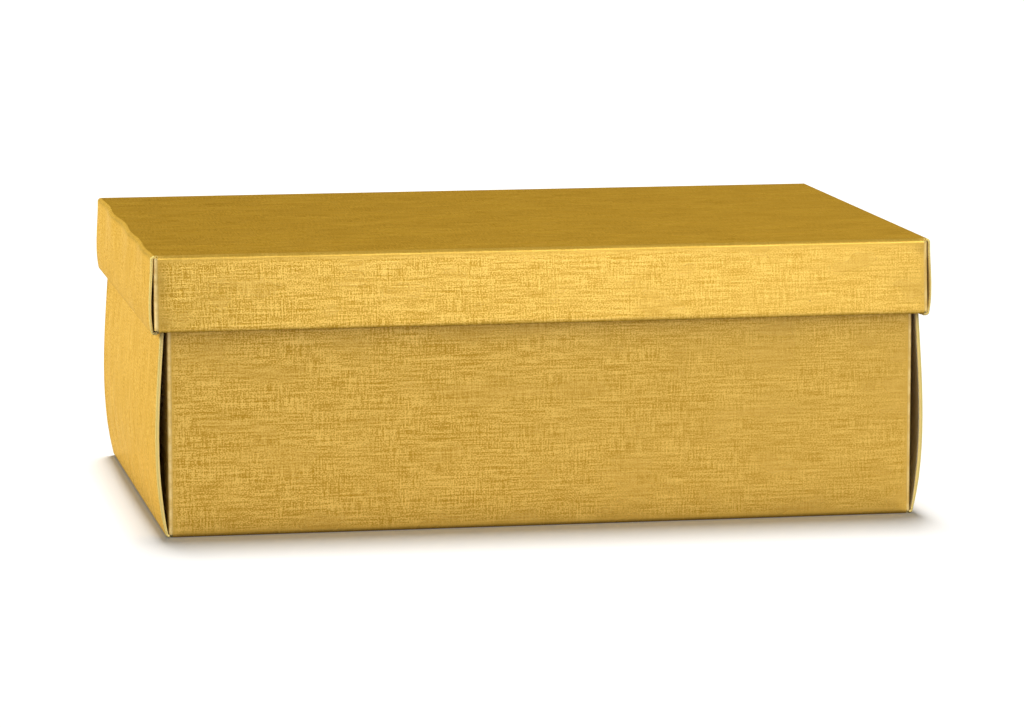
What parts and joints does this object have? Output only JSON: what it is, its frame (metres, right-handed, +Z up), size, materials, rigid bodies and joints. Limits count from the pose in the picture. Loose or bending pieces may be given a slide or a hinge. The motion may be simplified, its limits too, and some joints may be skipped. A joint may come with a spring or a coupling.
{
  "type": "favor box",
  "caption": "Rectangular favor box of folded, linen-embossed gold card, with a lift-off lid over a tray whose bowed ends roll over and tuck inside.",
  "frame": {"origin": "middle of the tray's underside, on the surface that the box stands on", "axes": "+X along the box's length, -Y out of its front, +Z up"},
  "size_m": [0.2432, 0.16, 0.0864],
  "materials": {
    "gold_card": "satin metallic gold with a linen emboss on the face, plain white on the reverse"
  },
  "bodies": {
    "tray": {"tray_bottom": "gold_card", "tray_front_wall": "gold_card", "tray_back_wall": "gold_card", "tray_right_end_wall": "gold_card", "tray_right_rim": "gold_card", "tray_right_front_corner_flap": "gold_card", "tray_right_back_corner_flap": "gold_card", "tray_left_end_wall": "gold_card", "tray_left_rim": "gold_card", "tray_left_front_corner_flap": "gold_card", "tray_left_back_corner_flap": "gold_card"},
    "lid": {"lid_top": "gold_card", "lid_front_wall": "gold_card", "lid_back_wall": "gold_card", "lid_right_end_wall": "gold_card", "lid_right_rim": "gold_card", "lid_right_tuck_flap": "gold_card", "lid_right_front_corner_flap": "gold_card", "lid_right_back_corner_flap": "gold_card", "lid_left_end_wall": "gold_card", "lid_left_rim": "gold_card", "lid_left_tuck_flap": "gold_card", "lid_left_front_corner_flap": "gold_card", "lid_left_back_corner_flap": "gold_card"},
    "right_tuck": {"tray_right_tuck_flap": "gold_card"},
    "left_tuck": {"tray_left_tuck_flap": "gold_card"}
  },
  "joints": [
    {"name": "lid_lift", "type": "slide", "parent": "tray", "child": "lid", "axis": [0, 0, 1], "range_m": [0, 0.1]},
    {"name": "right_tuck_fold", "type": "hinge", "parent": "tray", "child": "right_tuck", "pos_m": [0.1146, 0, 0.08505], "axis": [0, 1, 0], "range_deg": [0, 85]},
    {"name": "left_tuck_fold", "type": "hinge", "parent": "tray", "child": "left_tuck", "pos_m": [-0.1146, 0, 0.08505], "axis": [0, -1, 0], "range_deg": [0, 85]}
  ]
}
